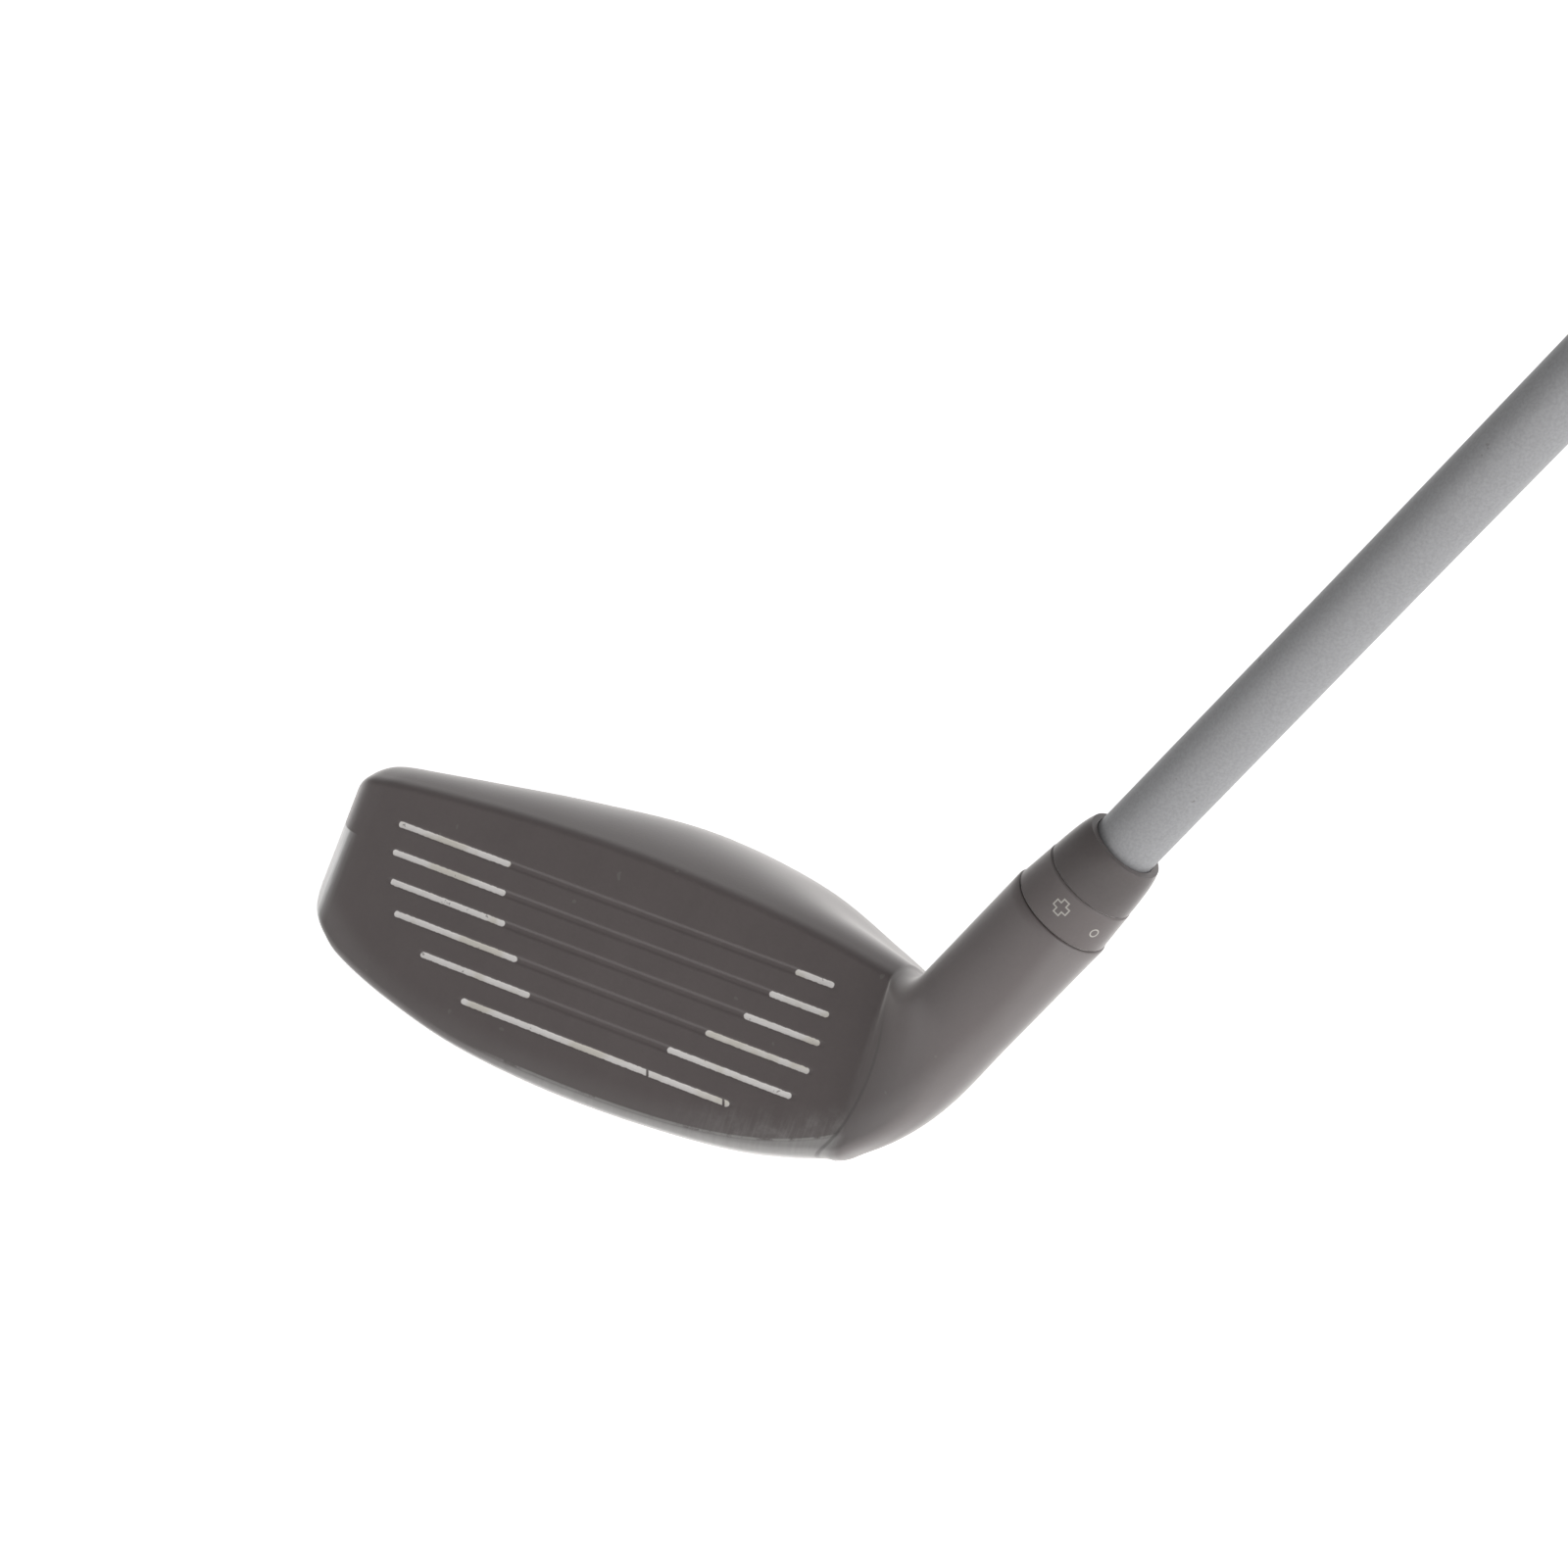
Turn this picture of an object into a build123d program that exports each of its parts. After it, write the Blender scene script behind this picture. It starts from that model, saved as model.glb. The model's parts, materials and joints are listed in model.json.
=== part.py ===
from build123d import *
from math import cos, radians, sin
import os

# Hybrid golf club at address: the sole on the ground, the face towards -Y, the toe towards -X.
# The hosel and shaft axis runs through the origin, which is the centre of the wrench port's rim.
# Places along that axis are stations, in millimetres from the origin, growing towards the grip.
# Places on the head are taken from the face centre: u towards the heel, v up the face, and
# y and z back and up.

# Driving dimensions
lie_angle = 60
loft_angle = 22
club_length = 1003          # from the ground, along the shaft, to the end of the grip cap
face_offset = 47.3          # face centre to hosel axis, towards the heel
face_advance = 2.5          # face centre to hosel axis, towards the front
face_height_on_axis = 12.6  # station of the hosel axis that is level with the face centre
face_bulge = 300            # radius of the face from toe to heel

face_wall = 2.2
crown_wall = 0.8
skirt_wall = 1.2
sole_wall = 1.8
cup_depth = 8.0             # how far the face cup wraps behind the face
cup_heel_end = 35.2
parting_height = 5.5        # parting of crown and sole at the front, above the face centre
parting_slope = 7           # and how it falls towards the back, in degrees
crown_heel_end = 24.5       # the crown cover stops short of the neck

groove_pitch = 4.17
groove_width = 0.9
groove_depth = 0.35
groove_ends = [             # toe and heel end of each score line, the highest first
    (-40.1, 33.4),
    (-39.3, 34.2),
    (-37.8, 34.4),
    (-35.2, 34.4),
    (-28.4, 33.2),
    (-19.2, 25.0),
]

hosel_radius = 7.7
hosel_top = 49.7
hosel_wall = 1.75
crotch_radius = 9.0         # between the top line and the neck
port_radius = 2.9           # wrench port in the sole
port_length = 15.0
port_rim_depth = 12
port_rim_radius = 3.3
chamber_radius = 3.2        # where the bolt's head sits, below the web that it pulls on
web_start = 22.0
web_thickness = 3.0

tooth_count = 8
tooth_height = 0.75
tooth_width = 1.9
tooth_length = 6.0

sleeve_band_length = 6.3
sleeve_band_radius = 7.45   # where it meets the hosel
sleeve_band_top_radius = 6.95
sleeve_floor = 8.5          # threaded for the bolt
ferrule_length = 7.2
ferrule_radii = (6.85, 6.4, 5.75)

shaft_tip_radius = 4.7      # 0.370 inch tip
shaft_butt_radius = 7.6     # 0.600 inch butt
shaft_wall = 1.2
parallel_tip = 84           # length of the shaft's parallel tip
tip_weight_length = 12

grip_length = 267           # 10.5 inches, without the cap
grip_mouth_radius = 9.0
grip_butt_radius = 13.2
grip_lip_length = 3.0
cap_radius = 14.2
cap_thickness = 4.0
cap_rounding = 1.5
vent_radius = 1.6
tape_thickness = 0.25

bolt_head_radius = 2.75
bolt_head_height = 4.0
bolt_radius = 2.0
bolt_length = 11.6          # under the head
washer_thickness = 0.8
patch_length = 3.0
patch_depth = 0.3
drive_radius = 1.75         # corners of the 3 mm hexagon key that turns the bolt and the weight
drive_depth = 2.6

weight_u = 1.0              # place of the sole weight, from the face centre
weight_back = 33.0
weight_radius = 6.0
weight_height = 6.0
weight_sink = 0.9
insert_wall = 1.0
boss_wall = 1.6
boss_height = 10.4
seal_thickness = 0.8
seal_wall = 2.5

pad_toe_end = -36           # sound-damping pad inside the toe
pad_heel_end = -14
pad_thickness = 3.0

slip_fit = 0.05             # radial, for every piece that slides or turns in another
glue_gap = 0.15             # radial, shaft in sleeve
tooth_gap = 0.1
seat_gap = 0.02

# The hosel axis and the places that follow from it
axis = Vector(cos(radians(lie_angle)), 0, sin(radians(lie_angle)))
face_centre = axis * face_height_on_axis - Vector(face_offset, face_advance, 0)
up_face = Vector(0, sin(radians(loft_angle)), cos(radians(loft_angle)))
into_face = Vector(0, cos(radians(loft_angle)), -sin(radians(loft_angle)))

bore_radius = hosel_radius - hosel_wall
sleeve_radius = bore_radius - slip_fit
bore_floor = web_start + web_thickness
sleeve_bottom = bore_floor + 0.3
band_bottom = hosel_top + seat_gap
band_top = band_bottom + sleeve_band_length
ferrule_bottom = band_top + seat_gap
ferrule_top = ferrule_bottom + ferrule_length
socket_floor = sleeve_bottom + sleeve_floor
socket_radius = shaft_tip_radius + glue_gap
shaft_bottom = socket_floor + seat_gap


def axis_plane(station):
    return Plane(origin=axis * station, x_dir=(0, 1, 0), z_dir=axis)


# Lines of the head. Each station has u, the lowest and highest v of the face, how far the
# section is set back at the front, the place and height of the tail, the height of the sole,
# and how far the middle of the crown stands above its front.
sole_height = -20.0
head_lines = [
    (-55.8, 4.0, 8.2, 12.8, 25.0, 2.2, 1.2, -0.1),
    (-55.0, 2.2, 10.4, 9.8, 26.8, 1.6, -1.6, -0.1),
    (-53.6, -0.6, 12.4, 6.6, 28.2, 0.8, -5.2, -0.2),
    (-51.6, -3.4, 13.7, 3.4, 29.4, -0.1, -8.6, -0.3),
    (-49.4, -5.6, 14.3, 1.2, 30.4, -0.9, -10.8, -0.4),
    (-46.6, -7.7, 14.7, 0.4, 32.0, -1.6, -12.6, -0.6),
    (-42.5, -9.9, 15.2, 0.1, 34.8, -2.6, -14.6, -1.1),
    (-33.0, -12.8, 16.0, 0.0, 41.3, -3.8, -17.2, -1.6),
    (-19.0, -15.6, 16.9, 0.0, 48.0, -4.8, -19.3, -1.6),
    (-2.0, -16.7, 17.3, 0.0, 52.0, -5.5, sole_height, -1.2),
    (15.0, -16.2, 16.7, 0.0, 51.2, -5.2, -19.4, -2.2),
    (29.0, -14.6, 15.6, -0.2, 45.0, -4.4, -17.6, -4.2),
    (41.0, -11.2, 13.9, -1.0, 35.0, -3.0, -14.0, -3.8),
]
heel_line = head_lines[-1]
lines_between = 3           # sections drawn for each station
neck_turns = (7, 14, 21, 28, 36, 44, 52, 60)


def fair(lines):
    """The stations and those between them, on smooth curves through the ones given."""
    ends = [lines[0]] + lines + [lines[-1]]
    faired = []
    for before, here, there, after in zip(ends, ends[1:], ends[2:], ends[3:]):
        for step in range(lines_between):
            t = step / lines_between
            weights = (
                -0.5 * t + t**2 - 0.5 * t**3,
                1 - 2.5 * t**2 + 1.5 * t**3,
                0.5 * t + 2 * t**2 - 1.5 * t**3,
                -0.5 * t**2 + 0.5 * t**3,
            )
            rows = (before, here, there, after)
            faired.append(tuple(sum(w * row[i] for w, row in zip(weights, rows)) for i in range(len(here))))
    return faired + [lines[-1]]


section_tangents = {
    "a": Vector(up_face.Y, up_face.Z),
    "b": Vector(up_face.Y, up_face.Z),
    "c": Vector(1.0, 0.16),
    "d": Vector(0.0, -1.0),
    "s": Vector(-1.0, 0.0),
    "g": Vector(-0.945, 0.33),
}


def section_points(line, inset):
    """The corners of one toe-to-heel section, as y and z from the face centre."""
    u, low, high, setback, back, tail, sole, rise = line
    behind = u * u / (2 * face_bulge) + setback + inset * face_wall
    low += inset * sole_wall
    high -= inset * (crown_wall + 0.6)
    y_step, z_step = into_face.Y * behind, into_face.Z * behind
    edge = Vector(low * up_face.Y + y_step, low * up_face.Z + z_step)
    top = Vector(high * up_face.Y + y_step, high * up_face.Z + z_step)
    depth = back - inset * skirt_wall - top.X
    height = top.Y - edge.Y
    corner = min(1.0, height / 12)
    crown = top + Vector(2.6 * corner, 1.1 * corner)
    front = edge + Vector(3.6 * corner, -2.9 * corner)
    return {
        "a": edge,
        "m": (edge + top) * 0.5,
        "b": top,
        "c": crown,
        "k": Vector(top.X + 0.48 * depth, crown.Y + rise),
        "d": Vector(top.X + depth, tail),
        "s": Vector(edge.X + 0.36 * depth, sole + inset * sole_wall),
        "g": front,
    }


def section_wire(place, points, tangents):
    """The outline of a section, as the same six edges all along the head and the neck, so
    that the loft joins edge to edge."""
    runs = ("amb", "bc", "ckd", "ds", "sg", "ga")
    edges = []
    for run in runs:
        ends = [tangents[run[0]], tangents[run[-1]]]
        edges.append(Edge.make_spline([points[corner] for corner in run], tangents=ends))
    return place.location * Wire(edges)


def head_section(line, inset=0):
    shift = Vector(line[0] + inset * skirt_wall * (1 if line[0] < 0 else -1), 0, 0)
    place = Plane(origin=face_centre + shift, x_dir=(0, 1, 0), z_dir=(1, 0, 0))
    return section_wire(place, section_points(line, inset), section_tangents)


# The neck is a fan of sections about the centre of the crotch, from the heel section to the
# round of the hosel.
heel_points = section_points(heel_line, 0)
crotch_height = heel_points["c"].Y + crotch_radius
tilt = radians(90 - lie_angle)
toe_side = Vector(face_offset - hosel_radius * cos(tilt), 0, hosel_radius * sin(tilt))
crotch_reach = crotch_radius / cos(tilt)
crotch_u = toe_side.X + (crotch_height - toe_side.Z) * sin(tilt) / cos(tilt) - crotch_reach
crotch = face_centre + Vector(crotch_u, 0, crotch_height)
neck_angles = {"a": 212, "m": 180, "b": 148, "c": 112, "k": 60, "d": 0, "s": 285, "g": 238}
fan_turn = lie_angle


def round_point(angle):
    turn = radians(angle)
    centre = Vector(face_advance, -crotch_radius - hosel_radius)
    return centre + Vector(hosel_radius * cos(turn), hosel_radius * sin(turn))


def round_tangent(angle):
    turn = radians(angle)
    return Vector(sin(turn), -cos(turn))


def neck_section(turn, rise=0):
    share = sin(radians(90 * turn / fan_turn))
    points = {}
    for corner, angle in neck_angles.items():
        start = heel_points[corner] - Vector(0, crotch_height)
        points[corner] = start * (1 - share) + round_point(angle) * share
    tangents = {}
    for corner, start in section_tangents.items():
        finish = round_tangent(neck_angles[corner])
        tangents[corner] = start.normalized() * (1 - share) + finish * share
    normal = (cos(radians(turn)), 0, sin(radians(turn)))
    place = Plane(origin=crotch + axis * rise, x_dir=(0, 1, 0), z_dir=normal)
    return section_wire(place, points, tangents)


neck_top = (crotch - Vector(0, crotch.Y, 0)).dot(axis)
head_wires = [head_section(line) for line in fair(head_lines)]
head_wires += [neck_section(turn) for turn in neck_turns]
head_wires += [neck_section(fan_turn, hosel_top - neck_top)]
head_form = Solid.make_loft(head_wires, ruled=True)
head_space = Solid.make_loft([head_section(line, 1) for line in fair(head_lines[3:-1])], ruled=True)

# The head's castings: the shell is parted behind the face and round the crown
space = 200
cup_plane = Plane(origin=face_centre + into_face * cup_depth, x_dir=(1, 0, 0), z_dir=into_face)
fall = radians(parting_slope)
parting_origin = face_centre + Vector(0, 0, parting_height)
parting_plane = Plane(origin=parting_origin, x_dir=(1, 0, 0), z_dir=(0, sin(fall), cos(fall)))
cup_end = Plane(origin=face_centre + Vector(cup_heel_end, 0, 0), z_dir=(1, 0, 0))
crown_end = Plane(origin=face_centre + Vector(crown_heel_end, 0, 0), z_dir=(1, 0, 0))

with BuildPart() as shell:
    add(head_form)
    add(head_space, mode=Mode.SUBTRACT)

with BuildPart() as cup_region:
    with BuildSketch(cup_plane):
        Rectangle(2 * space, 2 * space)
    extrude(amount=-space)
    split(bisect_by=cup_end, keep=Keep.BOTTOM)

with BuildPart() as crown_region:
    with BuildSketch(parting_plane):
        Rectangle(2 * space, 2 * space)
    extrude(amount=space)
    split(bisect_by=crown_end, keep=Keep.BOTTOM)
    split(bisect_by=cup_plane, keep=Keep.TOP)


with BuildPart() as port_mouth:
    with BuildSketch(axis_plane(-port_rim_depth)):
        Circle(port_rim_radius)
    extrude(amount=port_rim_depth)


def groove_point(u, depth):
    return (u, u * u / (2 * face_bulge) + depth)


with BuildPart() as face_cup:
    add(shell.part)
    add(cup_region.part, mode=Mode.INTERSECT)
    for row, (toe_end, heel_end) in enumerate(groove_ends):
        height = ((len(groove_ends) - 1) / 2 - row) * groove_pitch
        with BuildSketch(Plane(origin=face_centre + up_face * height, x_dir=(1, 0, 0), z_dir=up_face)):
            with BuildLine():
                middle = (toe_end + heel_end) / 2
                floor = ThreePointArc(*[groove_point(u, groove_depth) for u in (toe_end, middle, heel_end)])
                Polyline(floor @ 1, (heel_end, -groove_depth * 4), (toe_end, -groove_depth * 4), floor @ 0)
            make_face()
        extrude(amount=groove_width / 2, both=True, mode=Mode.SUBTRACT)
    add(port_mouth.part, mode=Mode.SUBTRACT)

with BuildPart() as crown_cover:
    add(shell.part)
    add(crown_region.part, mode=Mode.INTERSECT)

# The sole weight stands square to the sole
sole_probe = Axis(face_centre + Vector(weight_u, weight_back, -space), (0, 0, 1))
weight_mouth, weight_axis = head_form.find_intersection_points(sole_probe)[0]
insert_radius = weight_radius + slip_fit + insert_wall
weight_bottom = weight_sink + weight_height


def weight_plane(depth):
    return Plane(origin=weight_mouth - weight_axis * depth, x_dir=(1, 0, 0), z_dir=weight_axis)


with BuildPart() as weight_boss:
    add(head_form)
    with BuildSketch(weight_plane(boss_height)):
        Circle(insert_radius + boss_wall)
    extrude(amount=2 * boss_height, mode=Mode.INTERSECT)

with BuildPart() as head_body:
    add(shell.part)
    add(cup_region.part, mode=Mode.SUBTRACT)
    add(crown_region.part, mode=Mode.SUBTRACT)
    add(weight_boss.part)
    with BuildSketch(weight_plane(weight_bottom + seal_thickness + 3 * seat_gap)):
        Circle(insert_radius + seat_gap)
    extrude(amount=boss_height, mode=Mode.SUBTRACT)
    add(port_mouth.part, mode=Mode.SUBTRACT)
    for radius, start, finish in (
        (port_radius, 0, port_length),
        (chamber_radius, port_length, web_start),
        (bolt_radius + slip_fit, web_start, bore_floor),
        (bore_radius, bore_floor, hosel_top),
    ):
        with BuildSketch(axis_plane(start)):
            Circle(radius)
        extrude(amount=finish - start, mode=Mode.SUBTRACT)
    with BuildSketch(axis_plane(bore_floor)):
        with PolarLocations(bore_radius - tooth_height / 2, tooth_count):
            Rectangle(tooth_height + 2 * tooth_gap, tooth_width)
    extrude(amount=tooth_length)

with BuildPart() as weight_insert:
    with BuildSketch(weight_plane(weight_bottom + seal_thickness + 2 * seat_gap)):
        Circle(insert_radius)
        Circle(weight_radius + slip_fit, mode=Mode.SUBTRACT)
    extrude(amount=weight_height + seal_thickness)

with BuildPart() as weight_screw:
    with BuildSketch(weight_plane(weight_bottom)):
        Circle(weight_radius)
    extrude(amount=weight_height)
    with BuildSketch(weight_plane(weight_sink)):
        RegularPolygon(drive_radius, 6)
    extrude(amount=-drive_depth, mode=Mode.SUBTRACT)

with BuildPart() as weight_seal:
    with BuildSketch(weight_plane(weight_bottom + seal_thickness + seat_gap)):
        Circle(weight_radius)
        Circle(weight_radius - seal_wall, mode=Mode.SUBTRACT)
    extrude(amount=seal_thickness)

with BuildPart() as damping_pad:
    add(head_space)
    split(bisect_by=Plane(origin=face_centre + Vector(pad_toe_end, 0, 0), z_dir=(1, 0, 0)), keep=Keep.TOP)
    split(bisect_by=Plane(origin=face_centre + Vector(pad_heel_end, 0, 0), z_dir=(1, 0, 0)), keep=Keep.BOTTOM)
    split(bisect_by=cup_plane, keep=Keep.TOP)
    pad_height = sole_height + sole_wall + pad_thickness
    split(bisect_by=Plane(origin=face_centre + Vector(0, 0, pad_height)), keep=Keep.BOTTOM)

# The loft sleeve, glued on the shaft's tip, and the ferrule above it
with BuildPart() as hosel_sleeve:
    with BuildSketch(axis_plane(sleeve_bottom)):
        Circle(sleeve_radius)
    extrude(amount=band_bottom - sleeve_bottom)
    with BuildSketch(axis_plane(sleeve_bottom)):
        with PolarLocations(sleeve_radius, tooth_count):
            Rectangle(2 * (tooth_height + tooth_gap), tooth_width + 2 * tooth_gap)
    extrude(amount=tooth_length + tooth_gap, mode=Mode.SUBTRACT)
    with BuildSketch(axis_plane(band_bottom)):
        Circle(sleeve_band_radius)
    with BuildSketch(axis_plane(band_top)):
        Circle(sleeve_band_top_radius)
    loft()
    with BuildSketch(axis_plane(socket_floor)):
        Circle(socket_radius)
    extrude(amount=band_top - socket_floor, mode=Mode.SUBTRACT)
    with BuildSketch(axis_plane(sleeve_bottom)):
        Circle(bolt_radius + slip_fit)
    extrude(amount=sleeve_floor, mode=Mode.SUBTRACT)

with BuildPart() as ferrule:
    for share, radius in zip((0, 0.5, 1), ferrule_radii):
        with BuildSketch(axis_plane(ferrule_bottom + share * ferrule_length)):
            Circle(radius)
    loft()
    with BuildSketch(axis_plane(ferrule_bottom)):
        Circle(socket_radius)
    extrude(amount=ferrule_length, mode=Mode.SUBTRACT)

with BuildPart() as shaft_epoxy:
    with BuildSketch(axis_plane(shaft_bottom)):
        Circle(socket_radius - seat_gap)
        Circle(shaft_tip_radius + seat_gap, mode=Mode.SUBTRACT)
    extrude(amount=band_top - shaft_bottom)

# The shaft and the grip, turned about the axis: radius across, station along
club_end = (face_centre.Z + sole_height) / axis.Z + club_length
grip_top = club_end - cap_thickness
grip_bottom = grip_top - grip_length
shaft_top = grip_top - seat_gap
taper_start = shaft_bottom + parallel_tip
turning_plane = Plane(origin=(0, 0, 0), x_dir=(axis.Z, 0, -axis.X), z_dir=(0, -1, 0))
turning_axis = Axis((0, 0, 0), axis)


def shaft_radius(station):
    share = max(0, (station - taper_start) / (shaft_top - taper_start))
    return shaft_tip_radius + share * (shaft_butt_radius - shaft_tip_radius)


with BuildPart() as shaft:
    with BuildSketch(turning_plane):
        with BuildLine():
            Polyline(
                (shaft_tip_radius - shaft_wall, shaft_bottom),
                (shaft_tip_radius, shaft_bottom),
                (shaft_tip_radius, taper_start),
                (shaft_butt_radius, shaft_top),
                (shaft_butt_radius - shaft_wall, shaft_top),
                (shaft_tip_radius - shaft_wall, taper_start),
                close=True,
            )
        make_face()
    revolve(axis=turning_axis)

with BuildPart() as tip_weight:
    with BuildSketch(axis_plane(shaft_bottom)):
        Circle(shaft_tip_radius - shaft_wall - slip_fit)
    extrude(amount=tip_weight_length)

tape_inside = [(shaft_radius(station) + seat_gap, station) for station in (grip_bottom, shaft_top)]
tape_outside = [(radius + tape_thickness, station) for radius, station in tape_inside]
with BuildPart() as grip_tape:
    with BuildSketch(turning_plane):
        with BuildLine():
            Polyline(*tape_inside, *reversed(tape_outside), close=True)
        make_face()
    revolve(axis=turning_axis)

with BuildPart() as grip:
    with BuildSketch(turning_plane):
        with BuildLine():
            Polyline(
                (tape_outside[0][0] + seat_gap, grip_bottom),
                (grip_mouth_radius - grip_lip_length / 4, grip_bottom),
                (grip_mouth_radius, grip_bottom + grip_lip_length),
                (grip_butt_radius, grip_top - seat_gap),
                (tape_outside[1][0] + seat_gap, grip_top - seat_gap),
                close=True,
            )
        make_face()
    revolve(axis=turning_axis)

with BuildPart() as grip_cap:
    with BuildSketch(axis_plane(grip_top)):
        Circle(cap_radius)
    extrude(amount=cap_thickness)
    fillet(grip_cap.edges().filter_by(GeomType.CIRCLE), cap_rounding)
    with BuildSketch(axis_plane(grip_top)):
        Circle(vent_radius)
    extrude(amount=cap_thickness, mode=Mode.SUBTRACT)

# The bolt that clamps the head on the sleeve
washer_bottom = web_start - seat_gap - washer_thickness
bolt_seat = washer_bottom - seat_gap
bolt_end = bolt_seat + bolt_length
patch_bottom = bolt_end - 2 * patch_length

with BuildPart() as bolt_washer:
    with BuildSketch(axis_plane(washer_bottom)):
        Circle(bolt_head_radius)
        Circle(bolt_radius + slip_fit, mode=Mode.SUBTRACT)
    extrude(amount=washer_thickness)

with BuildPart() as hosel_bolt:
    with BuildSketch(axis_plane(bolt_seat)):
        Circle(bolt_head_radius)
    extrude(amount=-bolt_head_height)
    with BuildSketch(axis_plane(bolt_seat)):
        Circle(bolt_radius)
    extrude(amount=bolt_length)
    with BuildSketch(axis_plane(patch_bottom)):
        Circle(bolt_radius)
        Circle(bolt_radius - patch_depth, mode=Mode.SUBTRACT)
    extrude(amount=patch_length, mode=Mode.SUBTRACT)
    with BuildSketch(axis_plane(bolt_seat - bolt_head_height)):
        RegularPolygon(drive_radius, 6)
    extrude(amount=drive_depth, mode=Mode.SUBTRACT)

with BuildPart() as thread_patch:
    with BuildSketch(axis_plane(patch_bottom + seat_gap)):
        Circle(bolt_radius)
        Circle(bolt_radius - patch_depth + seat_gap, mode=Mode.SUBTRACT)
    extrude(amount=patch_length - 2 * seat_gap)

pieces = {
    "shaft": shaft,
    "hosel_sleeve": hosel_sleeve,
    "ferrule": ferrule,
    "shaft_epoxy": shaft_epoxy,
    "tip_weight": tip_weight,
    "grip_tape": grip_tape,
    "grip": grip,
    "grip_cap": grip_cap,
    "head_body": head_body,
    "face_cup": face_cup,
    "crown_cover": crown_cover,
    "damping_pad": damping_pad,
    "weight_insert": weight_insert,
    "weight_screw": weight_screw,
    "weight_seal": weight_seal,
    "bolt_washer": bolt_washer,
    "hosel_bolt": hosel_bolt,
    "thread_patch": thread_patch,
}
os.makedirs("parts", exist_ok=True)
for name, piece in pieces.items():
    piece.part.label = name
    export_step(piece.part, f"parts/{name}.step")
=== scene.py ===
import json
import math
import bmesh
import bpy
import numpy as np
from mathutils import Matrix, Vector


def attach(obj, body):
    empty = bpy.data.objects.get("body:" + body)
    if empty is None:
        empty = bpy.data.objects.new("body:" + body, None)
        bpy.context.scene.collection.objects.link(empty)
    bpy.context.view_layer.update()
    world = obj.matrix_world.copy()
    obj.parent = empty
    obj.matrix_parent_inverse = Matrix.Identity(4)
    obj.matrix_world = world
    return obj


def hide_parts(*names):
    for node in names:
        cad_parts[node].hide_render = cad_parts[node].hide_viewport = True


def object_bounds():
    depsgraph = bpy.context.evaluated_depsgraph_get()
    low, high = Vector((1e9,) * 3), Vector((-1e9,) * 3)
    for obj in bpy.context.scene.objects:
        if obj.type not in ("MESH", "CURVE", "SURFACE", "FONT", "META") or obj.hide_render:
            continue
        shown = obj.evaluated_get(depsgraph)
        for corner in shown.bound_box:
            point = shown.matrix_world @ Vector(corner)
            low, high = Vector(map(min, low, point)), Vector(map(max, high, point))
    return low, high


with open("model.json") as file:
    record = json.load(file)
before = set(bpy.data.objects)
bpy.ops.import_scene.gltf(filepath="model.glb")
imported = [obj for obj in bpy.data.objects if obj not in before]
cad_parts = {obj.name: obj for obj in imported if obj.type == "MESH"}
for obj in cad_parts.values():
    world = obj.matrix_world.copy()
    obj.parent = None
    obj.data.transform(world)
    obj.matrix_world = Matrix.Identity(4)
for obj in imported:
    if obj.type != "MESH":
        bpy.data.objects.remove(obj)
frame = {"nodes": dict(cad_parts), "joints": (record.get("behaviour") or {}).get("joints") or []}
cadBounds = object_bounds()
print("frame loaded:", len(frame["nodes"]), "nodes")

mm = 0.001
lieAngle = 60
lie = math.radians(lieAngle)
loft = math.radians(22)
faceOffset = 47.3  # from the hosel axis to the face's middle, towards the toe
shaftAxis = np.array([math.cos(lie), 0, math.sin(lie)])
levelStation = 12.6  # station of the hosel axis level with the face centre
faceCentre = shaftAxis * levelStation - np.array([faceOffset, 2.5, 0])
upFace = np.array([0, math.sin(loft), math.cos(loft)])
intoFace = np.array([0, math.cos(loft), -math.sin(loft)])


# a socket that takes part in Python expressions
class Sock:
    def __init__(self, tree, link):
        self.tree, self.link = tree, link

    def maths(self, operation, *others):
        return node(self.tree, "ShaderNodeMath", {"operation": operation}, [self, *others])

    def __add__(self, other): return self.maths("ADD", other)
    def __radd__(self, other): return self.maths("ADD", other)
    def __sub__(self, other): return self.maths("SUBTRACT", other)
    def __mul__(self, other): return self.maths("MULTIPLY", other)
    def __rmul__(self, other): return self.maths("MULTIPLY", other)
    def __truediv__(self, other): return self.maths("DIVIDE", other)
    def __pow__(self, other): return self.maths("POWER", other)
    def __abs__(self): return self.maths("ABSOLUTE")
    def least(self, other): return self.maths("MINIMUM", other)
    def most(self, other): return self.maths("MAXIMUM", other)
    def root(self): return self.maths("SQRT")

    def __rsub__(self, other):
        return node(self.tree, "ShaderNodeMath", {"operation": "SUBTRACT"}, [other, self])

    def ramp(self, low, high):  # 0 below low, 1 above high, smooth between
        return node(
            self.tree, "ShaderNodeMapRange", {"interpolation_type": "SMOOTHSTEP"},
            {"Value": self, "From Min": low, "From Max": high},
        )

    def along(self, direction):  # dot product of a vector socket
        return node(
            self.tree, "ShaderNodeVectorMath", {"operation": "DOT_PRODUCT"}, [self, tuple(direction)], "Value"
        )


def node(tree, kind, settings=None, values=None, output=0):
    made = tree.nodes.new(kind)
    for name, value in (settings or {}).items():
        setattr(made, name, value)
    pairs = values.items() if isinstance(values, dict) else enumerate(values or [])
    for key, value in pairs:
        if isinstance(value, Sock):
            tree.links.new(value.link, made.inputs[key])
        else:
            made.inputs[key].default_value = value
    return Sock(tree, made.outputs[output])


def mixColour(tree, factor, first, second):
    return node(tree, "ShaderNodeMix", {"data_type": "RGBA"}, {0: factor, 6: first, 7: second}, 2)


def noise(tree, place, scale, detail=4.0, rough=0.55):
    return node(
        tree, "ShaderNodeTexNoise", None,
        {"Vector": place, "Scale": scale, "Detail": detail, "Roughness": rough},
    )


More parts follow.
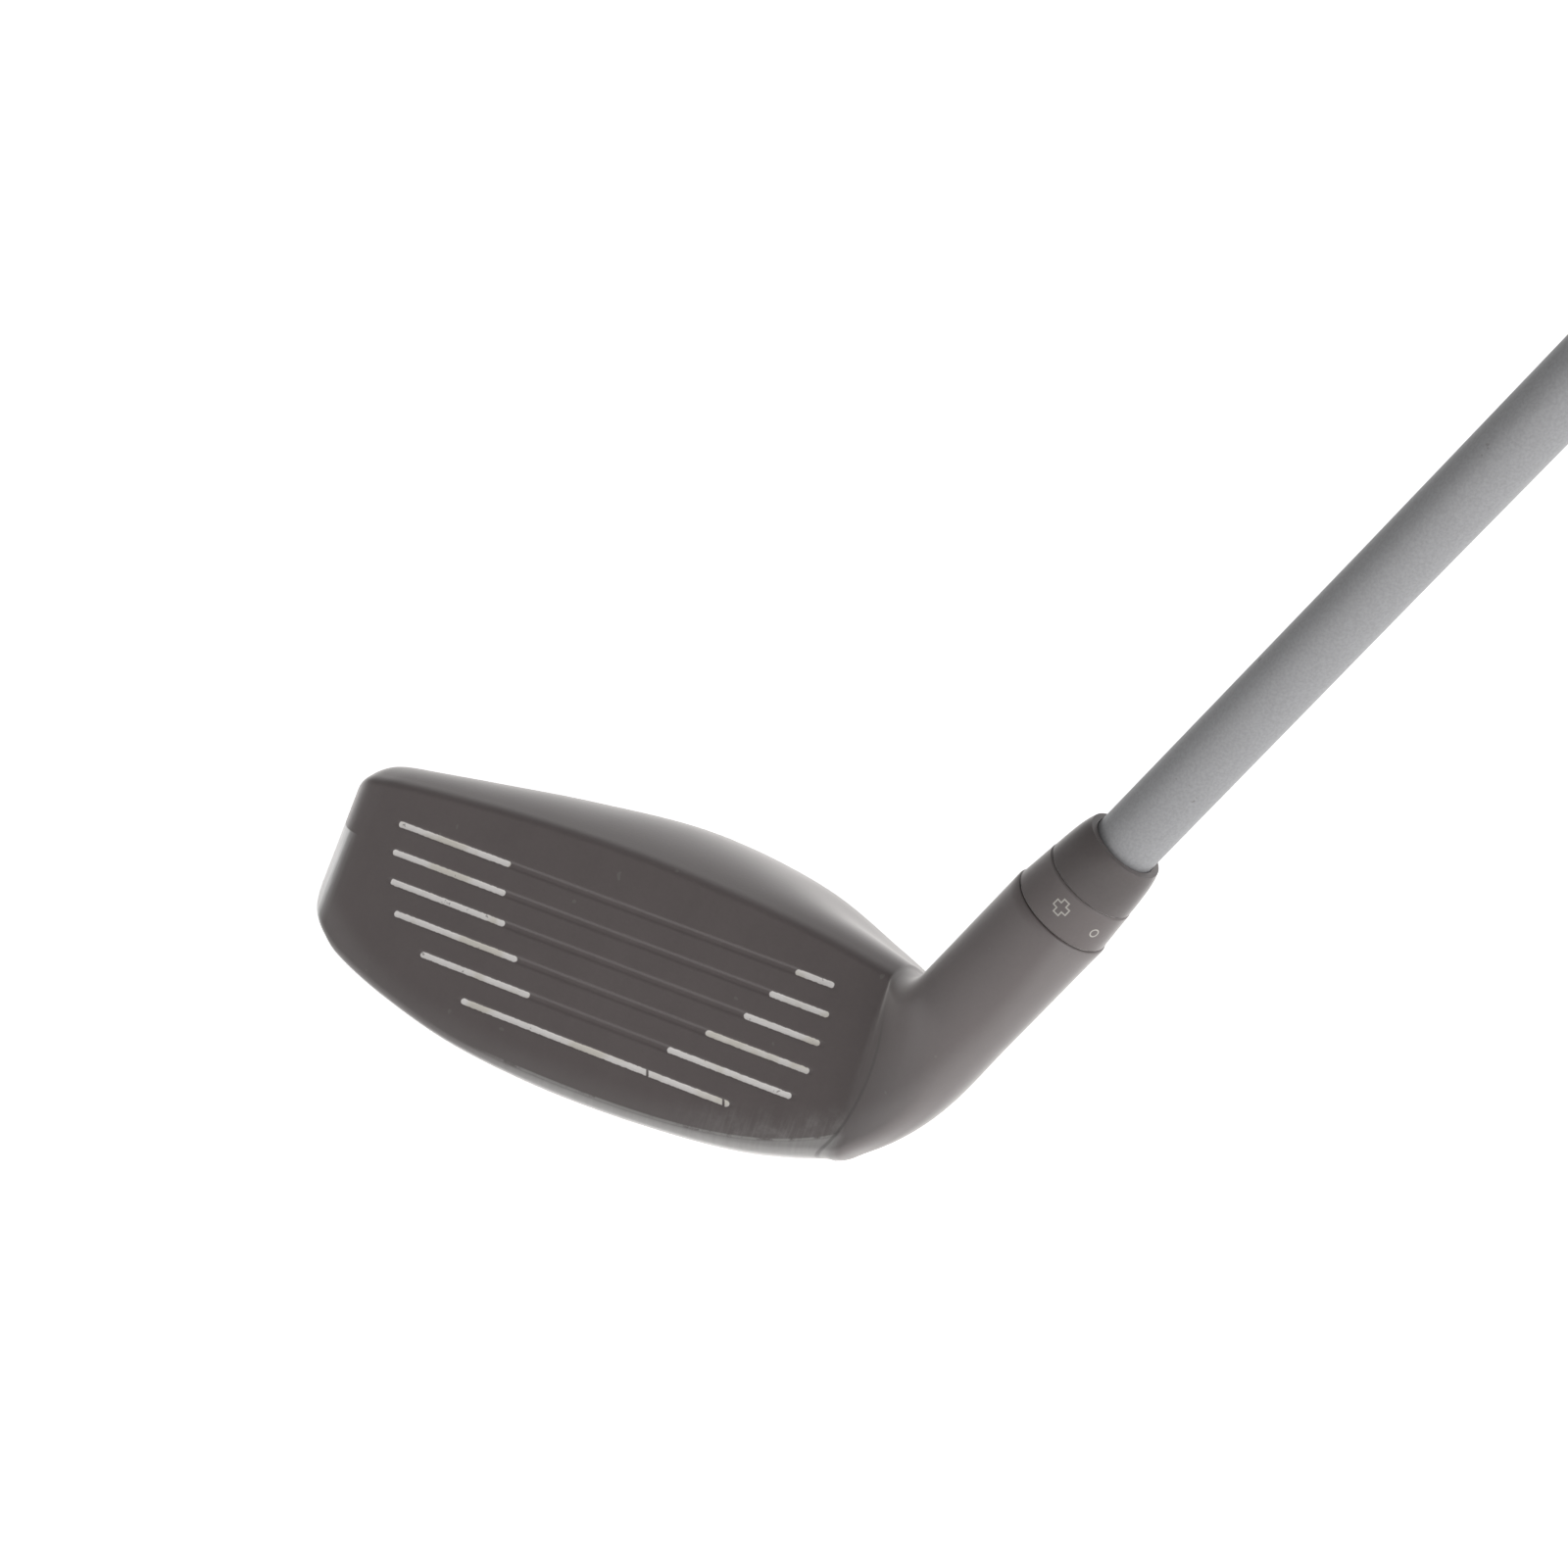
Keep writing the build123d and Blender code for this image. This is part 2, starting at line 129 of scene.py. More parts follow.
def newMaterial(name):
    material = bpy.data.materials.new(name)
    material.use_nodes = True
    tree = material.node_tree
    shader = tree.nodes["Principled BSDF"]
    place = node(tree, "ShaderNodeTexCoord", None, None, "Object")
    return material, tree, shader, place


def feed(tree, shader, **inputs):
    for name, value in inputs.items():
        socket = shader.inputs[name.replace("_", " ")]
        if isinstance(value, Sock):
            tree.links.new(value.link, socket)
        else:
            socket.default_value = value


def bumped(tree, height, strength, distance):
    return node(tree, "ShaderNodeBump", None, {"Strength": strength, "Distance": distance, "Height": height})


def sheen(shader):
    shader.inputs["Sheen Weight"].default_value = 1.0
    shader.inputs["Sheen Roughness"].default_value = 0.3
    shader.inputs["Sheen Tint"].default_value = (1, 0.97, 0.95, 1)


def grey(level, warmth=0.0):
    return (level * (1 + warmth), level, level * (1 - warmth), 1)


def meshPiece(name, points, faces, material, body, slotName, replaced, sharpAngle=35):
    mesh = bpy.data.meshes.new(name)
    mesh.from_pydata((np.asarray(points) * mm).tolist(), [], faces)
    mesh.update()
    mesh.materials.append(material)
    piece = bpy.data.objects.new(name, mesh)
    bpy.context.scene.collection.objects.link(piece)
    smooth(mesh, sharpAngle)
    if body:
        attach(piece, body)
        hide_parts(*replaced)
    return piece


def smooth(mesh, sharpAngle):
    mesh.shade_smooth()
    mesh.set_sharp_from_angle(angle=math.radians(sharpAngle))


def frameOf(direction):
    axis = np.array(direction, dtype=float) / np.linalg.norm(direction)
    side = np.cross(axis, [0, 1, 0])
    side /= np.linalg.norm(side)
    return axis, side, np.cross(axis, side)


def lathe(profile, origin, direction, segments, closed=False, relief=None):
    axis, side, other = frameOf(direction)
    angles = np.linspace(0, 2 * np.pi, segments, endpoint=False)
    profile = np.asarray(profile, dtype=float)
    radii = np.repeat(profile[:, :1], segments, axis=1)
    if relief is not None:
        radii = radii + relief(profile[:, 1][:, None], angles[None, :])
    ring = np.cos(angles)[None, :, None] * side + np.sin(angles)[None, :, None] * other
    points = np.asarray(origin) + profile[:, 1][:, None, None] * axis + radii[:, :, None] * ring
    count = len(profile)
    last = count if closed else count - 1
    faces = []
    for i in range(last):
        here, there = i * segments, ((i + 1) % count) * segments
        for j in range(segments):
            k = (j + 1) % segments
            faces.append((here + j, here + k, there + k, there + j))
    points = points.reshape(-1, 3)
    if not closed:
        for ringStart, flip in ((0, True), ((count - 1) * segments, False)):
            loop = list(range(ringStart, ringStart + segments))
            faces.append(tuple(reversed(loop)) if flip else tuple(loop))
    return points, faces


def outwards(piece):
    work = bmesh.new()
    work.from_mesh(piece.data)
    bmesh.ops.recalc_face_normals(work, faces=work.faces)
    work.to_mesh(piece.data)
    work.free()


headLines = [  # u, lowest v, highest v, set back, tail y, tail z, sole z, crown, as the castings have them
    (-55.8, 4.0, 8.2, 12.8, 25.0, 2.2, 1.2, -0.1),
    (-55.0, 2.2, 10.4, 9.8, 26.8, 1.6, -1.6, -0.1),
    (-53.6, -0.6, 12.4, 6.6, 28.2, 0.8, -5.2, -0.2),
    (-51.6, -3.4, 13.7, 3.4, 29.4, -0.1, -8.6, -0.3),
    (-49.4, -5.6, 14.3, 1.2, 30.4, -0.9, -10.8, -0.4),
    (-46.6, -7.7, 14.7, 0.4, 32.0, -1.6, -12.6, -0.6),
    (-42.5, -9.9, 15.2, 0.1, 34.8, -2.6, -14.6, -1.1),
    (-33.0, -12.8, 16.0, 0.0, 41.3, -3.8, -17.2, -1.6),
    (-19.0, -15.6, 16.9, 0.0, 48.0, -4.8, -19.3, -1.6),
    (-2.0, -16.7, 17.3, 0.0, 52.0, -5.5, -20.0, -1.2),
    (15.0, -16.2, 16.7, 0.0, 51.2, -5.2, -19.4, -2.2),
    (29.0, -14.6, 15.6, -0.2, 45.0, -4.4, -17.6, -4.2),
    (41.0, -11.2, 13.9, -1.0, 35.0, -3.0, -14.0, -3.8),
]
head = {
    "bulge": 300,            # radius of the face from toe to heel
    "ringStep": 0.55,        # between sections, toe to heel
    "neckStep": 1.6,         # between sections of the neck, in degrees
    "crotch": 9.0,           # radius of the bend between the crown and the neck
    "crease": 3.5,           # how far the bend into the neck is eased, in degrees
    "hosel": 7.7,
    "hoselTop": 49.7,
    "rim": 0.3,
    # the wrench port, bolt head's room, bolt hole and sleeve socket: radius, start, end
    "bores": [(3.3, -12, 0), (2.9, 0, 15), (3.2, 15, 22), (2.05, 22, 25), (5.95, 25, 52)],
    "recess": [(7.07, -7.8), (7.07, 6)],  # round the sole weight: radius, depth
    "tone": 0.092,
    "rough": 0.44,
    "paint": (0.78, 0.75, 0.73, 1),
    "stain": (0.60, 0.56, 0.47, 1),
    "runs": (("amb", 190), ("bc", 12), ("ckd", 64), ("ds", 40), ("sg", 20), ("ga", 16)),
    "neckAngles": {"a": 212, "m": 180, "b": 148, "c": 112, "k": 60, "d": 0, "s": 285, "g": 238},
}
grooves = {
    "pitch": 4.17,
    "width": 0.9,
    "depth": 0.13,
    "ends": [(-40.1, 33.4), (-39.3, 34.2), (-37.8, 34.4), (-35.2, 34.4), (-28.4, 33.2), (-19.2, 25.0)],
    # the unpainted middle of each row
    "bare": [(-20.4, 28.1), (-19.5, 25.6), (-17.8, 23.2), (-13.8, 18.7), (-9.8, 14.2), None],
}
headTangents = {
    "a": upFace[1:], "b": upFace[1:], "c": np.array([1.0, 0.16]), "d": np.array([0.0, -1.0]),
    "s": np.array([-1.0, 0.0]), "g": np.array([-0.945, 0.33]),
}


def grooveHeight(row):
    return ((len(grooves["ends"]) - 1) / 2 - row) * grooves["pitch"]


def unit(vector):
    return np.asarray(vector) / np.linalg.norm(vector)


# a smooth run through two or three points with the given end directions, without its end
def splineRun(points, first, last, count):
    points = [np.asarray(p, dtype=float) for p in points]
    spans = [np.linalg.norm(b - a) for a, b in zip(points, points[1:])]
    slopes = [unit(first), unit(last)]
    if len(points) == 3:
        h0, h1 = spans
        rates = [(points[1] - points[0]) / h0, (points[2] - points[1]) / h1]
        middle = (3 * (h1 * rates[0] + h0 * rates[1]) - h1 * slopes[0] - h0 * slopes[1]) / (2 * (h0 + h1))
        slopes = [slopes[0], middle, slopes[1]]
    total = sum(spans)
    out = []
    for step in range(count):
        s = total * step / count
        index = 0 if len(spans) == 1 or s < spans[0] else 1
        local = (s - (spans[0] if index else 0)) / spans[index]
        h = spans[index]
        t, t2, t3 = local, local**2, local**3
        out.append(
            (2 * t3 - 3 * t2 + 1) * points[index] + (t3 - 2 * t2 + t) * h * slopes[index]
            + (3 * t2 - 2 * t3) * points[index + 1] + (t3 - t2) * h * slopes[index + 1]
        )
    return out


def sectionCorners(line):
    u, low, high, setback, back, tail, sole, rise = line
    behind = u * u / (2 * head["bulge"]) + setback
    step = intoFace[1:] * behind
    edge, top = low * upFace[1:] + step, high * upFace[1:] + step
    depth = back - top[0]
    corner = min(1.0, (top[1] - edge[1]) / 12)
    crown = top + np.array([2.6, 1.1]) * corner
    return {
        "a": edge, "m": (edge + top) / 2, "b": top, "c": crown,
        "k": np.array([top[0] + 0.48 * depth, crown[1] + rise]),
        "d": np.array([back, tail]),
        "s": np.array([edge[0] + 0.36 * depth, sole]),
        "g": edge + np.array([3.6, -2.9]) * corner,
    }


def drawSection(corners, tangents):
    outline = []
    for run, count in head["runs"]:
        outline += splineRun([corners[c] for c in run], tangents[run[0]], tangents[run[-1]], count)
    return np.array(outline)


def fairLines():
    lines = [np.array(line) for line in headLines]
    ends = [lines[0]] + lines + [lines[-1]]
    faired = []
    for before, here, there, after in zip(ends, ends[1:], ends[2:], ends[3:]):
        between = max(4, round(abs(there[0] - here[0]) / head["ringStep"]))
        for step in range(between):
            t = step / between
            faired.append(
                before * (-0.5 * t + t**2 - 0.5 * t**3) + here * (1 - 2.5 * t**2 + 1.5 * t**3)
                + there * (0.5 * t + 2 * t**2 - 1.5 * t**3) + after * (-0.5 * t**2 + 0.5 * t**3)
            )
    return faired + [lines[-1]]


# sinks the face points that lie in a score line
def cutGrooves(points):
    p = points - faceCentre
    u, v = p[:, 0], p @ upFace
    sink = np.zeros(len(points))
    for row, (toeEnd, heelEnd) in enumerate(grooves["ends"]):
        along = np.maximum(np.maximum(toeEnd - u, u - heelEnd), 0)
        away = np.hypot(along, v - grooveHeight(row))
        sink = np.maximum(sink, np.clip((grooves["width"] / 2 + 0.1 - away) / 0.25, 0, 1))
    sink = sink * sink * (3 - 2 * sink)
    return points + np.outer(sink * grooves["depth"], intoFace)


def headMesh():
    rings = []
    across, up = np.array([0, 1.0, 0]), np.array([0, 0, 1.0])
    for line in fairLines():
        outline = drawSection(sectionCorners(line), headTangents)
        centre = faceCentre + np.array([line[0], 0, 0])
        rings.append(centre + outline[:, :1] * across + outline[:, 1:] * up)
    faceCount = head["runs"][0][1]
    rings = [np.vstack([cutGrooves(ring[: faceCount + 1]), ring[faceCount + 1:]]) for ring in rings]
    cap = rings[0]
    middle = cap.mean(axis=0)
    rings = [middle + (cap - middle) * share for share in (0.02, 0.3, 0.6, 0.85)] + rings

    heel = sectionCorners(headLines[-1])
    crotchZ = heel["c"][1] + head["crotch"]
    lean = math.pi / 2 - lie
    toeSideX = faceOffset - head["hosel"] * math.cos(lean)
    toeSideZ = head["hosel"] * math.sin(lean)
    crotchX = toeSideX + (crotchZ - toeSideZ) * math.tan(lean) - head["crotch"] / math.cos(lean)
    crotch = faceCentre + np.array([crotchX, 0, crotchZ])
    neckTop = float((crotch - [0, crotch[1], 0]) @ shaftAxis)
    roundCentre = np.array([2.5, -head["crotch"] - head["hosel"]])

    def neckRing(turn, rise=0.0, narrow=0.0):
        eased = 1 - math.exp(-((turn / head["crease"]) ** 2))
        share = math.sin(math.radians(90 * turn / lieAngle)) * eased
        corners, tangents = {}, {}
        for corner, angle in head["neckAngles"].items():
            a = math.radians(angle)
            onRound = roundCentre + (head["hosel"] - narrow) * np.array([math.cos(a), math.sin(a)])
            corners[corner] = (heel[corner] - [0, crotchZ]) * (1 - share) + onRound * share
            if corner in headTangents:
                finish = np.array([math.sin(a), -math.cos(a)])
                tangents[corner] = unit(headTangents[corner]) * (1 - share) + finish * share
        outline = drawSection(corners, tangents)
        if turn == lieAngle:
            offset = outline - roundCentre
            offset *= ((head["hosel"] - narrow) / np.linalg.norm(offset, axis=1))[:, None]
            outline = roundCentre + offset
        t = math.radians(turn)
        rising = np.array([-math.sin(t), 0, math.cos(t)])
        return crotch + shaftAxis * rise + outline[:, :1] * across + outline[:, 1:] * rising

    turns = np.arange(head["neckStep"], lieAngle, head["neckStep"])
    rings += [neckRing(turn) for turn in turns] + [neckRing(lieAngle)]
    height = head["hoselTop"] - neckTop
    rim = head["rim"]
    rings += [neckRing(lieAngle, rise) for rise in np.linspace(1.5, height - rim, 14)]
    rings += [neckRing(lieAngle, height - rim * 0.3, rim * 0.3), neckRing(lieAngle, height, rim)]

    size = len(rings[0])
    faces = []
    for i in range(len(rings) - 1):
        for j in range(size):
            k = (j + 1) % size
            faces.append((i * size + j, i * size + k, (i + 1) * size + k, (i + 1) * size + j))
    faces.append(tuple(range(size - 1, -1, -1)))
    faces.append(tuple(range((len(rings) - 1) * size, len(rings) * size)))
    return np.vstack(rings), faces


def cutBy(piece, points, faces):
    cutter = meshPiece("cutter", points, faces, piece.data.materials[0], None, None, None)
    outwards(cutter)
    cut = piece.modifiers.new("cut", "BOOLEAN")
    cut.object, cut.operation, cut.solver = cutter, "DIFFERENCE", "EXACT"
    depsgraph = bpy.context.evaluated_depsgraph_get()
    mesh = bpy.data.meshes.new_from_object(piece.evaluated_get(depsgraph))
    piece.modifiers.clear()
    piece.data = mesh
    bpy.data.objects.remove(cutter)


def headFinish():
    material, tree, shader, place = newMaterial("matteCharcoalHead")
    local = node(tree, "ShaderNodeVectorMath", {"operation": "SUBTRACT"}, [place, tuple(faceCentre * mm)])
    u = local.along((1 / mm, 0, 0))
    v = local.along(upFace / mm)
    behind = local.along(intoFace / mm) - u * u / (2 * head["bulge"])
    height = local.along((0, 0, 1 / mm))
    back = local.along((0, 1 / mm, 0))
    onFace = 1 - behind.ramp(0.5, 0.9)

    mottle = noise(tree, place, 70, 6.0, 0.7)
    fine = noise(tree, place, 2200, 2.0)
    ragged = noise(tree, place, 1500, 3.0)
    paint = None
    for row, (toeEnd, heelEnd) in enumerate(grooves["ends"]):
        bare = grooves["bare"][row]
        strokes = [(toeEnd, bare[0]), (bare[1], heelEnd)] if bare else [(toeEnd, heelEnd)]
        for start, finish in strokes:
            beyond = (start - u).most(u - finish).most(0.0)
            away = v - grooveHeight(row)
            distance = (beyond * beyond + away * away).root() + (ragged - 0.5) * 0.22
            stroke = 1 - distance.ramp(grooves["width"] * 0.42, grooves["width"] * 0.54)
            paint = stroke if paint is None else paint.most(stroke)
    chips = 1 - (1 - noise(tree, place, 700, 3.0).ramp(0.27, 0.32)) * 0.6
    for chip in (8.0, 20.3, 26.1, 24.0):  # knocks along the lowest strokes
        higher = abs(v + 8.4).ramp(1.2, 1.3) * (v + 9.0).ramp(0, 0.2)
        chips = chips * abs(u - chip + (v * 0.4)).ramp(0.1, 0.3).most(higher)
    paint = paint * chips * onFace

    streaks = node(tree, "ShaderNodeMapping", None, {"Vector": place, "Scale": (900, 50, 50)})
    brushed = noise(tree, streaks, 1.0, 3.0)
    specks = noise(tree, place, 520, 1.0).ramp(0.775, 0.80)
    tone = head["tone"] + (mottle - 0.5) * 0.024 + (fine - 0.5) * 0.008 + (brushed - 0.5) * onFace * 0.006
    dark = node(tree, "ShaderNodeCombineColor", None, [tone * 1.14, tone * 0.94, tone * 0.92])
    dark = mixColour(tree, specks * 0.5, dark, (0.16, 0.15, 0.14, 1))

    # bare metal of the sole and skirt, below the parting and behind the leading edge
    below = 1 - (height + back * math.tan(math.radians(7))).ramp(5.4, 5.6)
    skirt = below * behind.ramp(0.4, 1.2) * (1 - u.ramp(30, 41))
    scratches = node(tree, "ShaderNodeMapping", None, {"Vector": place, "Scale": (1900, 160, 160)})
    scuff = noise(tree, scratches, 1.0, 4.0)
    silver = mixColour(tree, scuff.ramp(0.35, 0.7), grey(0.55, 0.01), grey(0.70, 0.01))
    colour = mixColour(tree, skirt, dark, silver)

    # the leading edge is worn along its heel half, and rubbed at the heel
    heelwards = u / 42.4
    edge = heelwards * heelwards * 2.99 + heelwards**4 * 4.81 - 16.45
    above = v - edge
    wornNoise = noise(tree, place, 420, 5.0, 0.7)
    line = (1 - abs(above).ramp(0.06, 0.26)) * u.ramp(-16, -4) * (1 - u.ramp(40, 43))
    line = line * wornNoise.ramp(0.34, 0.5) * (1 - behind.ramp(3.0, 4.0))
    rubbed = (1 - above.ramp(0.3, 6.0)) * above.ramp(-2.6, -1.2) * u.ramp(14, 30) * (1 - u.ramp(42, 44))
    rubbed = rubbed * (scuff.ramp(0.40, 0.75) * 0.5 + wornNoise.ramp(0.4, 0.8)) * (1 - behind.ramp(3.0, 5.0))
    worn = (line * 0.9 + rubbed * 0.3).least(1.0)
    colour = mixColour(tree, worn, colour, grey(0.40, 0.03))
    # painted reflection of the pale floor: the band below the leading edge is lighter, with scuff variation,
    # and the colour lightens a little towards the leading edge from 4 mm above it
    front = 1 - behind.ramp(5.0, 8.0)
    floorReflectionBand = (1 - above.ramp(-0.45, 0.05)) * u.ramp(-24, 2) * (1 - u.ramp(41, 43.5)) * front
    colour = mixColour(tree, floorReflectionBand * (scuff * 0.3 + 0.5), colour, grey(0.42, 0.02))
    colour = mixColour(tree, (1 - above.ramp(-0.5, 4.0)) * front * 0.12, colour, grey(0.40, 0.02))

    # where the face ends at the neck
    heelEdge = u - 44.2 + (v - 2) * (v - 2) * 0.02
    seam = (1 - abs(heelEdge).ramp(0.1, 0.45)) * (1 - v.ramp(2, 14)) * (1 - behind.ramp(2.5, 5.0))
    colour = mixColour(tree, seam * 0.45, colour, (0.030, 0.026, 0.024, 1))
    stain = noise(tree, place, 120, 3.0).ramp(0.5, 0.62) * 0.6
    aged = mixColour(tree, stain, head["paint"], head["stain"])
    colour = mixColour(tree, paint, colour, aged)

    metal = skirt.most(worn * 0.8)
    feed(tree, shader, Base_Color=colour, Metallic=metal * 0.6,
         Roughness=head["rough"] + (mottle - 0.5) * 0.14 - metal * 0.08 + paint * 0.2,
         Normal=bumped(tree, fine * 0.6 + scuff * metal + paint * (ragged - 0.2) * 1.5, 0.16, 0.00012))
    shader.inputs["IOR"].default_value = 1.7
    sheen(shader)
    return material


print("head skin")
headMaterial = headFinish()
headPoints, headFaces = headMesh()
headSkin = meshPiece("head_skin", headPoints, headFaces, headMaterial, None, None, None, 40)
outwards(headSkin)
boreProfile = []
for radius, start, finish in head["bores"]:
    boreProfile += [(radius, start + 0.001), (radius, finish)]
cutBy(headSkin, *lathe(boreProfile, (0, 0, 0), shaftAxis, 72))
weightJoint = next(j for j in frame["joints"] if j["name"] == "weight_turn")
weightAxis = np.array(weightJoint["axis"], dtype=float)
weightMouth = np.array(weightJoint["pos_m"], dtype=float) / mm
cutBy(headSkin, *lathe(head["recess"], weightMouth, weightAxis, 72))
smooth(headSkin.data, 40)
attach(headSkin, "head")
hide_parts("head_body", "face_cup", "crown_cover")
print("head skin has", len(headSkin.data.vertices), "points")


def plasticFinish(name, level, rough, grainScale=1800):
    material, tree, shader, place = newMaterial(name)
    grain, cloud = noise(tree, place, grainScale, 2.0), noise(tree, place, 90, 4.0)
    tone = level + (cloud - 0.5) * level * 0.35 + (grain - 0.5) * level * 0.15
    sheen(shader)
    dark = node(tree, "ShaderNodeCombineColor", None, [tone * 1.10, tone * 0.95, tone * 0.93])
    feed(tree, shader, Base_Color=dark, Roughness=rough + (cloud - 0.5) * 0.12,
         Normal=bumped(tree, grain, 0.12, 0.00008))
    return material


sleeve = {"bottom": 25.3, "radius": 5.9, "bandBottom": 49.72, "bandTop": 56.02, "bandRadius": 7.45,
          "bandTopRadius": 6.95, "socket": 4.85, "floor": 33.8, "boltHole": 2.05, "bevel": 0.25,
          "tone": 0.118, "marks": (0.50, 0.48, 0.44, 1)}


def sleeveFinish():
    material, tree, shader, place = newMaterial("blackSleeve")
    axis, side, other = frameOf(shaftAxis)
    station = place.along(axis / mm)
    x, y = place.along(side / mm), place.along(other / mm)
    turn = node(tree, "ShaderNodeMath", {"operation": "ARCTAN2"}, [y, x])

    def around(angle):  # millimetres round the band from a mark's centre
        return (turn - angle) * sleeve["bandRadius"]

    def plusOutline(angle, height, arm, half, line):
        a, b = abs(around(angle)), abs(station - height)
        wide = (a - arm).most(b - half)
        tall = (a - half).most(b - arm)
        return 1 - abs(wide.least(tall)).ramp(line * 0.5, line)

    def ringOutline(angle, height, radius, line):
        a, b = around(angle), station - height
        return 1 - abs((a * a + b * b).root() - radius).ramp(line * 0.5, line)

    marks = plusOutline(1.671, 53.4, 1.15, 0.46, 0.13).most(ringOutline(2.532, 52.97, 0.6, 0.13))
    grain, cloud = noise(tree, place, 1800, 2.0), noise(tree, place, 110, 4.0)
    tone = sleeve["tone"] + (cloud - 0.5) * 0.02 + (grain - 0.5) * 0.01
    dark = node(tree, "ShaderNodeCombineColor", None, [tone * 1.10, tone * 0.95, tone * 0.93])
    sheen(shader)
    feed(tree, shader, Base_Color=mixColour(tree, marks * 0.8, dark, sleeve["marks"]),
         Roughness=0.44 + (cloud - 0.5) * 0.12, Normal=bumped(tree, grain - marks * 2.0, 0.12, 0.00008))
    return material


print("sleeve and ferrule")
bevel = sleeve["bevel"]
sleeveProfile = [
    (sleeve["boltHole"], sleeve["bottom"]), (sleeve["radius"] - bevel, sleeve["bottom"]),
    (sleeve["radius"], sleeve["bottom"] + bevel), (sleeve["radius"], sleeve["bandBottom"] - 0.02),
    (sleeve["bandRadius"] - bevel, sleeve["bandBottom"]),
    (sleeve["bandRadius"], sleeve["bandBottom"] + bevel),
    (sleeve["bandTopRadius"], sleeve["bandTop"] - bevel),
    (sleeve["bandTopRadius"] - bevel, sleeve["bandTop"]),
    (sleeve["socket"], sleeve["bandTop"]), (sleeve["socket"], sleeve["floor"]),
    (sleeve["boltHole"], sleeve["floor"]),
]
meshPiece("sleeve_body", *lathe(sleeveProfile, (0, 0, 0), shaftAxis, 96, closed=True), sleeveFinish(),
          "shaft_assembly", "sleeve_black", ["hosel_sleeve"])

ferrule = {"bottom": 56.04, "top": 63.24, "bore": 4.85, "radius": 6.85, "lip": 0.2, "topRadius": 5.35,
           "tone": 0.086, "rough": 0.42}
ferruleFoot = ferrule["radius"] - ferrule["lip"]
ferruleProfile = [(ferrule["bore"], ferrule["bottom"]), (ferruleFoot, ferrule["bottom"])]
for t in np.linspace(0, 1, 14):
    ferruleProfile.append((
        ferrule["radius"] - 0.9 * t * 0.55 - 0.2 * t * t * 1.5 - 0.3 * t**6,
        ferrule["bottom"] + ferrule["lip"] + (7.0 - 0.05) * t,
    ))
ferruleProfile += [(ferrule["topRadius"], ferrule["top"]), (ferrule["bore"], ferrule["top"])]
meshPiece("ferrule_ring", *lathe(ferruleProfile, (0, 0, 0), shaftAxis, 96, closed=True),
          plasticFinish("blackFerrule", ferrule["tone"], ferrule["rough"]),
          "shaft_assembly", "ferrule_black", ["ferrule"])


shaft = {
    "tip": 4.7, "butt": 7.6, "wall": 1.2, "bottom": 33.82, "taper": 117.82, "top": 988.486,
    "silver": (0.285, 0.285, 0.29, 1), "fleck": (0.335, 0.335, 0.345, 1), "worn": (0.17, 0.155, 0.15, 1),
}


def shaftFinish():
    material, tree, shader, place = newMaterial("silverShaftPaint")
    fleck, cloud = noise(tree, place, 2600, 2.0), noise(tree, place, 160, 4.0, 0.65)
    pits = noise(tree, place, 620, 2.0).ramp(0.68, 0.72) * noise(tree, place, 60, 2.0).ramp(0.48, 0.6)
    rub = noise(tree, place, 240, 6.0, 0.75).ramp(0.62, 0.70)
    base = mixColour(tree, fleck.ramp(0.25, 0.75), shaft["silver"], shaft["fleck"])
    base = mixColour(tree, (pits * 0.6 + rub * 0.12).least(1.0), base, shaft["worn"])
    feed(tree, shader, Base_Color=base, Metallic=0.35, Roughness=0.42 + (cloud - 0.5) * 0.16 + pits * 0.2,
         Normal=bumped(tree, fleck * 0.4 - pits, 0.18, 0.0001))
    return material


print("shaft")
tip, butt, wall = shaft["tip"], shaft["butt"], shaft["wall"]
bottom, taper, top = shaft["bottom"], shaft["taper"], shaft["top"]
shaftProfile = [(tip - wall, bottom), (tip, bottom)]
shaftProfile += [(tip, station) for station in np.linspace(bottom + 20, taper, 6)]
shaftProfile += [(tip + (butt - tip) * t, taper + (top - taper) * t) for t in np.linspace(0.05, 1, 20)]
shaftProfile += [(butt - wall, top), (tip - wall, taper)]
meshPiece("shaft_tube", *lathe(shaftProfile, (0, 0, 0), shaftAxis, 96, closed=True), shaftFinish(),
          "shaft_assembly", "shaft_silver", ["shaft"])


grip = {"bottom": 721.506, "top": 988.486, "mouth": 9.0, "butt": 13.2, "inner": (7.0, 7.89),
        "diamond": 5.2, "around": 14, "relief": 0.35, "plainBottom": 12, "plainTop": 10,
        "tone": 0.028}


# small diamonds cut into the rubber, with plain bands at the ends
def gripRelief(station, angle):
    along = (station - grip["bottom"]) / grip["diamond"]
    turns = angle / (2 * np.pi) * grip["around"]
    wave = np.maximum(np.abs(((along + turns) % 1) - 0.5), np.abs(((along - turns) % 1) - 0.5))
    cut = np.clip((wave - 0.42) / 0.05, 0, 1) * grip["relief"]
    ends = np.clip((station - grip["bottom"] - grip["plainBottom"]) / 4, 0, 1)
    ends = ends * np.clip((grip["top"] - grip["plainTop"] - station) / 4, 0, 1)
    return -cut * ends


def rubberFinish(name, level):
    material, tree, shader, place = newMaterial(name)
    grain, dust = noise(tree, place, 2600, 3.0), noise(tree, place, 70, 5.0, 0.7)
    tone = level + (dust - 0.5) * level * 0.9 + (grain - 0.5) * level * 0.4
    dark = node(tree, "ShaderNodeCombineColor", None, [tone, tone, tone * 1.03])
    feed(tree, shader, Base_Color=dark, Roughness=0.72 + (dust - 0.5) * 0.2,
         Normal=bumped(tree, grain, 0.35, 0.00015))
    return material


